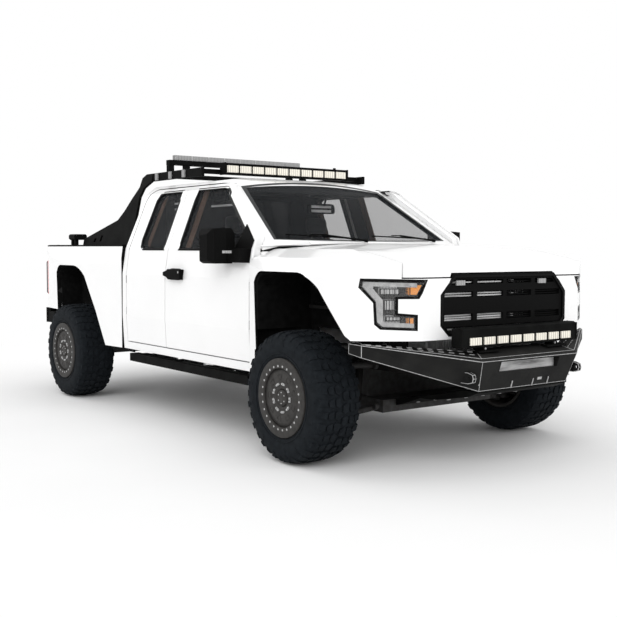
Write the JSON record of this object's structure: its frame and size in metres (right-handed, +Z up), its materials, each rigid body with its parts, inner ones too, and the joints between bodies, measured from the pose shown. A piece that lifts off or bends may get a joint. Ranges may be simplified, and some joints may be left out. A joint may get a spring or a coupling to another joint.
{
  "type": "off-road pickup truck",
  "caption": "Full-size extended-cab pickup truck with a short load bed, off-road bumper, light bars, bed rack and large tyres.",
  "frame": {"origin": "on the ground, below the middle of the truck's box", "axes": "+X forward, +Y to the truck's left, +Z up"},
  "size_m": [5.26, 2.366, 2.085],
  "materials": {
    "white_paint": "gloss white paint",
    "black_steel": "satin black powder coat",
    "frame_black": "matt black chassis paint",
    "black_plastic": "grained black plastic",
    "tyre_rubber": "matt rubber",
    "wheel_grey": "satin dark grey paint",
    "window_glass": "tinted glass",
    "lamp_housing": "grey lamp housing",
    "grey_lens": "frosted grey lamp cover",
    "red_lens": "red lamp cover",
    "cream_lens": "cream lamp cover",
    "seat_cloth": "dark woven cloth",
    "dark_trim": "soft dark trim",
    "bare_alloy": "bare alloy",
    "bare_steel": "bare steel",
    "running_steel": "dark forged steel"
  },
  "bodies": {
    "chassis": {"ladder_frame": "frame_black", "cab_body": "white_paint", "hinge_pins": "running_steel", "fender_right": "white_paint", "fender_left": "white_paint", "front_panel": "white_paint", "grille": "black_plastic", "grille_slats": "bare_alloy", "radiator": "bare_alloy", "headlamps": "lamp_housing", "headlamp_units": "grey_lens", "arch_liners": "black_plastic", "bed_rail_caps": "black_plastic", "rack_lamps": "grey_lens", "front_bumper": "black_steel", "skid_plate": "black_steel", "light_bars": "black_steel", "light_bar_lenses": "cream_lens", "load_bed": "white_paint", "rear_bumper": "black_steel", "tail_lamps": "red_lens", "chase_rack": "black_steel", "windscreen": "window_glass", "rear_glass": "window_glass", "side_steps": "black_steel", "front_suspension": "running_steel", "rear_axle": "running_steel", "engine_block": "bare_alloy", "driveline": "bare_steel", "exhaust": "bare_steel", "fuel_tank": "black_plastic", "front_seats": "seat_cloth", "rear_seat": "seat_cloth", "dashboard": "dark_trim"},
    "hood": {"hood": "white_paint"},
    "tailgate": {"tailgate": "white_paint"},
    "front_door_right": {"door_front_right": "white_paint", "glass_front_right": "window_glass", "mirror_right": "black_plastic", "door_handle_right": "black_plastic"},
    "rear_door_right": {"door_rear_right": "white_paint", "glass_rear_right": "window_glass"},
    "front_knuckle_right": {"knuckle_right": "running_steel"},
    "front_door_left": {"door_front_left": "white_paint", "glass_front_left": "window_glass", "mirror_left": "black_plastic", "door_handle_left": "black_plastic"},
    "rear_door_left": {"door_rear_left": "white_paint", "glass_rear_left": "window_glass"},
    "front_knuckle_left": {"knuckle_left": "running_steel"},
    "steering": {"steering_wheel": "dark_trim"},
    "front_wheel_right": {"rim_front_right": "wheel_grey", "tyre_front_right": "tyre_rubber"},
    "front_wheel_left": {"rim_front_left": "wheel_grey", "tyre_front_left": "tyre_rubber"},
    "rear_wheel_right": {"rim_rear_right": "wheel_grey", "tyre_rear_right": "tyre_rubber"},
    "rear_wheel_left": {"rim_rear_left": "wheel_grey", "tyre_rear_left": "tyre_rubber"}
  },
  "joints": [
    {"name": "steer_right", "type": "hinge", "parent": "chassis", "child": "front_knuckle_right", "pos_m": [1.62, -0.868, 0.412], "axis": [0, 0, 1], "range_deg": [-28, 28]},
    {"name": "spin_front_right", "type": "hinge", "parent": "front_knuckle_right", "child": "front_wheel_right", "pos_m": [1.62, -0.957, 0.412], "axis": [0, 1, 0], "continuous": true},
    {"name": "spin_rear_right", "type": "hinge", "parent": "chassis", "child": "rear_wheel_right", "pos_m": [-1.785, -0.957, 0.412], "axis": [0, 1, 0], "continuous": true},
    {"name": "open_front_door_right", "type": "hinge", "parent": "chassis", "child": "front_door_right", "pos_m": [1.094, -1.001, 0.95], "axis": [0, 0, 1], "range_deg": [0, 65]},
    {"name": "open_rear_door_right", "type": "hinge", "parent": "chassis", "child": "rear_door_right", "pos_m": [-0.736, -1.001, 0.95], "axis": [0, 0, -1], "range_deg": [0, 80]},
    {"name": "steer_left", "type": "hinge", "parent": "chassis", "child": "front_knuckle_left", "pos_m": [1.62, 0.868, 0.412], "axis": [0, 0, 1], "range_deg": [-28, 28]},
    {"name": "spin_front_left", "type": "hinge", "parent": "front_knuckle_left", "child": "front_wheel_left", "pos_m": [1.62, 0.957, 0.412], "axis": [0, 1, 0], "continuous": true},
    {"name": "spin_rear_left", "type": "hinge", "parent": "chassis", "child": "rear_wheel_left", "pos_m": [-1.785, 0.957, 0.412], "axis": [0, 1, 0], "continuous": true},
    {"name": "open_front_door_left", "type": "hinge", "parent": "chassis", "child": "front_door_left", "pos_m": [1.094, 1.001, 0.95], "axis": [0, 0, -1], "range_deg": [0, 65]},
    {"name": "open_rear_door_left", "type": "hinge", "parent": "chassis", "child": "rear_door_left", "pos_m": [-0.736, 1.001, 0.95], "axis": [0, 0, 1], "range_deg": [0, 80]},
    {"name": "open_hood", "type": "hinge", "parent": "chassis", "child": "hood", "pos_m": [1.156, 0, 1.316], "axis": [0, -1, 0], "range_deg": [0, 50]},
    {"name": "drop_tailgate", "type": "hinge", "parent": "chassis", "child": "tailgate", "pos_m": [-2.506, 0, 0.828], "axis": [0, -1, 0], "range_deg": [0, 90]},
    {"name": "turn_steering", "type": "hinge", "parent": "chassis", "child": "steering", "pos_m": [0.635, 0.385, 1.19], "axis": [-0.9171, 0, 0.3987], "range_deg": [-430, 430]}
  ],
  "couplings": [
    {"joint": "steer_left", "follows": "steer_right", "ratio": 1},
    {"joint": "turn_steering", "follows": "steer_right", "ratio": 15}
  ]
}
